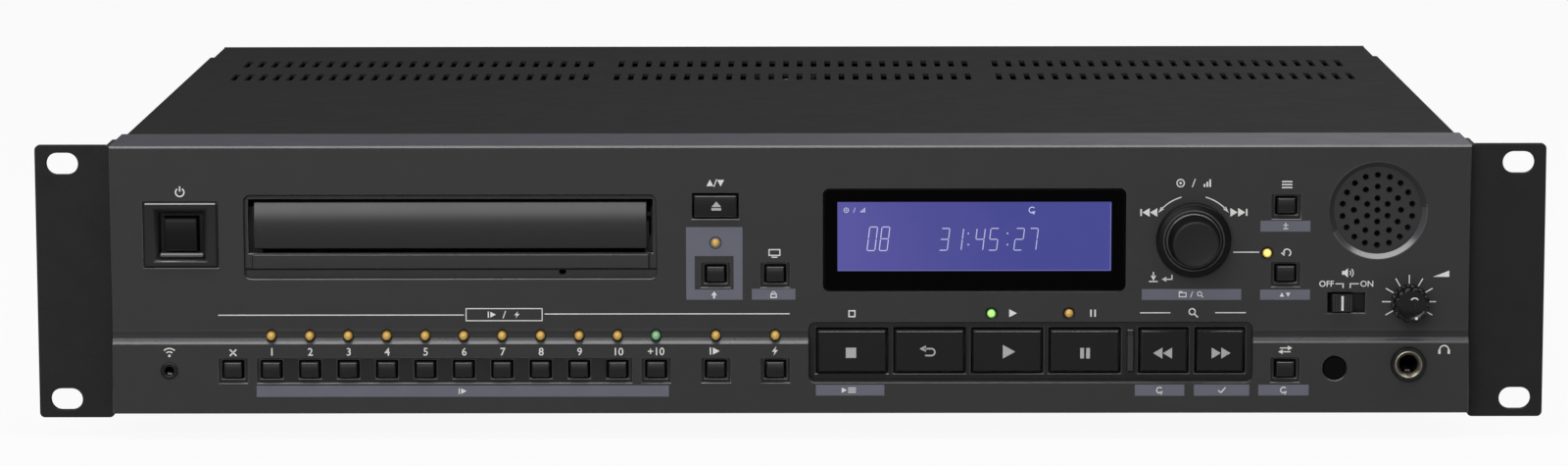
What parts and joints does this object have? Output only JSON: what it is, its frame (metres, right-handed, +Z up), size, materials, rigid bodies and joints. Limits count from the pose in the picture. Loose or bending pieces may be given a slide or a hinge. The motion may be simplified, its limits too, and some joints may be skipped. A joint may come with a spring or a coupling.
{
  "type": "cd player",
  "caption": "Low rack mount disc player with a sliding disc tray, display, push-and-turn dial, track and transport keys, monitor loudspeaker and slotted rack ears.",
  "frame": {"origin": "centre of the outline seen from above, on the plane that the feet stand on", "axes": "+X to the user's right, +Y away from the user into the case, +Z up"},
  "size_m": [0.4826, 0.324, 0.0943],
  "materials": {
    "panel": "fine-grained satin moulding",
    "cover": "fine black powder coat",
    "ear": "textured black powder coat",
    "zinc": "zinc-plated sheet",
    "rubber": "matt black",
    "gloss": "smoked, polished",
    "knob": "polished black",
    "door": "polished dark grey",
    "board": "solder-masked laminate",
    "white": "natural acetal",
    "black_plastic": "matt black",
    "grey_plastic": "matt grey",
    "steel": "turned",
    "tape": "wound polyester tape",
    "cap": "satin black"
  },
  "bodies": {
    "case": {"front_panel": "panel", "top_cover": "cover", "bottom_chassis": "zinc", "rear_panel": "cover", "rack_ear_left": "ear", "rack_ear_right": "ear", "foot_front_left": "rubber", "foot_front_right": "rubber", "foot_rear_left": "rubber", "foot_rear_right": "rubber", "power_bezel": "cap", "control_board": "board", "display_window": "gloss", "display_module": "grey_plastic", "speaker_driver": "black_plastic", "phones_jack": "black_plastic", "infrared_window": "gloss", "loader_frame": "grey_plastic", "clamp_bridge": "zinc", "main_board": "board", "mains_inlet": "black_plastic", "mains_transformer": "tape"},
    "power_button": {"power_button": "cap"},
    "open_close_button": {"open_close_button": "cap"},
    "shift_button": {"shift_button": "cap"},
    "display_button": {"display_button": "cap"},
    "menu_button": {"menu_button": "cap"},
    "jog_button": {"jog_button": "cap"},
    "play_mode_button": {"play_mode_button": "cap"},
    "clear_button": {"clear_button": "cap"},
    "cue_button": {"cue_button": "cap"},
    "flash_button": {"flash_button": "cap"},
    "track_key_1": {"track_key_1": "cap"},
    "track_key_2": {"track_key_2": "cap"},
    "track_key_3": {"track_key_3": "cap"},
    "track_key_4": {"track_key_4": "cap"},
    "track_key_5": {"track_key_5": "cap"},
    "track_key_6": {"track_key_6": "cap"},
    "track_key_7": {"track_key_7": "cap"},
    "track_key_8": {"track_key_8": "cap"},
    "track_key_9": {"track_key_9": "cap"},
    "track_key_10": {"track_key_10": "cap"},
    "track_key_plus_10": {"track_key_plus_10": "cap"},
    "stop_button": {"stop_button": "cap"},
    "call_button": {"call_button": "cap"},
    "play_button": {"play_button": "cap"},
    "pause_button": {"pause_button": "cap"},
    "search_back_button": {"search_back_button": "cap"},
    "search_forward_button": {"search_forward_button": "cap"},
    "dial_shaft": {"dial_shaft": "steel"},
    "data_dial": {"data_dial": "cap"},
    "level_knob": {"level_knob": "knob"},
    "speaker_switch": {"speaker_switch": "cap"},
    "tray": {"tray_front": "door", "disc_tray": "black_plastic"},
    "tray_gear": {"tray_gear": "white"},
    "traverse": {"traverse_frame": "zinc"},
    "turntable": {"turntable": "black_plastic"},
    "pickup": {"optical_pickup": "grey_plastic"},
    "disc_clamp": {"disc_clamp": "black_plastic"}
  },
  "joints": [
    {"name": "tray_slide", "type": "slide", "parent": "case", "child": "tray", "axis": [0, -1, 0], "range_m": [0, 0.146]},
    {"name": "tray_gear_turn", "type": "hinge", "parent": "case", "child": "tray_gear", "pos_m": [-0.1523, -0.12345, 0.0619], "axis": [0, 0, 1], "range_deg": [0, 700]},
    {"name": "traverse_lift", "type": "slide", "parent": "case", "child": "traverse", "axis": [0, 0, 1], "range_m": [0, 0.0047]},
    {"name": "turntable_spin", "type": "hinge", "parent": "traverse", "child": "turntable", "pos_m": [-0.1083, -0.07145, 0.0614], "axis": [0, 0, 1], "continuous": true},
    {"name": "pickup_slide", "type": "slide", "parent": "traverse", "child": "pickup", "axis": [0, 1, 0], "range_m": [0, 0.035]},
    {"name": "disc_clamp_spin", "type": "hinge", "parent": "case", "child": "disc_clamp", "pos_m": [-0.1083, -0.07145, 0.0724], "axis": [0, 0, 1], "continuous": true},
    {"name": "dial_push", "type": "slide", "parent": "case", "child": "dial_shaft", "axis": [0, 1, 0], "range_m": [0, 0.0008], "stiffness_N_per_m": 500},
    {"name": "dial_turn", "type": "hinge", "parent": "dial_shaft", "child": "data_dial", "pos_m": [0.1286, -0.14945, 0.0641], "axis": [0, 1, 0], "continuous": true},
    {"name": "level_turn", "type": "hinge", "parent": "case", "child": "level_knob", "pos_m": [0.1976, -0.14945, 0.044], "axis": [0, 1, 0], "range_deg": [-135, 135]},
    {"name": "speaker_switch_slide", "type": "slide", "parent": "case", "child": "speaker_switch", "axis": [1, 0, 0], "range_m": [0, 0.0027]},
    {"name": "power_press", "type": "slide", "parent": "case", "child": "power_button", "axis": [0, 1, 0], "range_m": [0, 0.0035], "stiffness_N_per_m": 250},
    {"name": "open_close_press", "type": "slide", "parent": "case", "child": "open_close_button", "axis": [0, 1, 0], "range_m": [0, 0.0007], "stiffness_N_per_m": 300},
    {"name": "shift_press", "type": "slide", "parent": "case", "child": "shift_button", "axis": [0, 1, 0], "range_m": [0, 0.0007], "stiffness_N_per_m": 300},
    {"name": "display_press", "type": "slide", "parent": "case", "child": "display_button", "axis": [0, 1, 0], "range_m": [0, 0.0007], "stiffness_N_per_m": 300},
    {"name": "menu_press", "type": "slide", "parent": "case", "child": "menu_button", "axis": [0, 1, 0], "range_m": [0, 0.0007], "stiffness_N_per_m": 300},
    {"name": "jog_press", "type": "slide", "parent": "case", "child": "jog_button", "axis": [0, 1, 0], "range_m": [0, 0.0007], "stiffness_N_per_m": 300},
    {"name": "play_mode_press", "type": "slide", "parent": "case", "child": "play_mode_button", "axis": [0, 1, 0], "range_m": [0, 0.0007], "stiffness_N_per_m": 300},
    {"name": "clear_press", "type": "slide", "parent": "case", "child": "clear_button", "axis": [0, 1, 0], "range_m": [0, 0.0007], "stiffness_N_per_m": 300},
    {"name": "cue_press", "type": "slide", "parent": "case", "child": "cue_button", "axis": [0, 1, 0], "range_m": [0, 0.0007], "stiffness_N_per_m": 300},
    {"name": "flash_press", "type": "slide", "parent": "case", "child": "flash_button", "axis": [0, 1, 0], "range_m": [0, 0.0007], "stiffness_N_per_m": 300},
    {"name": "track_key_1_press", "type": "slide", "parent": "case", "child": "track_key_1", "axis": [0, 1, 0], "range_m": [0, 0.0007], "stiffness_N_per_m": 300},
    {"name": "track_key_2_press", "type": "slide", "parent": "case", "child": "track_key_2", "axis": [0, 1, 0], "range_m": [0, 0.0007], "stiffness_N_per_m": 300},
    {"name": "track_key_3_press", "type": "slide", "parent": "case", "child": "track_key_3", "axis": [0, 1, 0], "range_m": [0, 0.0007], "stiffness_N_per_m": 300},
    {"name": "track_key_4_press", "type": "slide", "parent": "case", "child": "track_key_4", "axis": [0, 1, 0], "range_m": [0, 0.0007], "stiffness_N_per_m": 300},
    {"name": "track_key_5_press", "type": "slide", "parent": "case", "child": "track_key_5", "axis": [0, 1, 0], "range_m": [0, 0.0007], "stiffness_N_per_m": 300},
    {"name": "track_key_6_press", "type": "slide", "parent": "case", "child": "track_key_6", "axis": [0, 1, 0], "range_m": [0, 0.0007], "stiffness_N_per_m": 300},
    {"name": "track_key_7_press", "type": "slide", "parent": "case", "child": "track_key_7", "axis": [0, 1, 0], "range_m": [0, 0.0007], "stiffness_N_per_m": 300},
    {"name": "track_key_8_press", "type": "slide", "parent": "case", "child": "track_key_8", "axis": [0, 1, 0], "range_m": [0, 0.0007], "stiffness_N_per_m": 300},
    {"name": "track_key_9_press", "type": "slide", "parent": "case", "child": "track_key_9", "axis": [0, 1, 0], "range_m": [0, 0.0007], "stiffness_N_per_m": 300},
    {"name": "track_key_10_press", "type": "slide", "parent": "case", "child": "track_key_10", "axis": [0, 1, 0], "range_m": [0, 0.0007], "stiffness_N_per_m": 300},
    {"name": "track_key_plus_10_press", "type": "slide", "parent": "case", "child": "track_key_plus_10", "axis": [0, 1, 0], "range_m": [0, 0.0007], "stiffness_N_per_m": 300},
    {"name": "stop_press", "type": "slide", "parent": "case", "child": "stop_button", "axis": [0, 1, 0], "range_m": [0, 0.001], "stiffness_N_per_m": 400},
    {"name": "call_press", "type": "slide", "parent": "case", "child": "call_button", "axis": [0, 1, 0], "range_m": [0, 0.001], "stiffness_N_per_m": 400},
    {"name": "play_press", "type": "slide", "parent": "case", "child": "play_button", "axis": [0, 1, 0], "range_m": [0, 0.001], "stiffness_N_per_m": 400},
    {"name": "pause_press", "type": "slide", "parent": "case", "child": "pause_button", "axis": [0, 1, 0], "range_m": [0, 0.001], "stiffness_N_per_m": 400},
    {"name": "search_back_press", "type": "slide", "parent": "case", "child": "search_back_button", "axis": [0, 1, 0], "range_m": [0, 0.001], "stiffness_N_per_m": 400},
    {"name": "search_forward_press", "type": "slide", "parent": "case", "child": "search_forward_button", "axis": [0, 1, 0], "range_m": [0, 0.001], "stiffness_N_per_m": 400}
  ],
  "couplings": [
    {"joint": "tray_gear_turn", "follows": "tray_slide", "rad_per_m": 83.333},
    {"joint": "disc_clamp_spin", "follows": "turntable_spin", "ratio": 1}
  ]
}
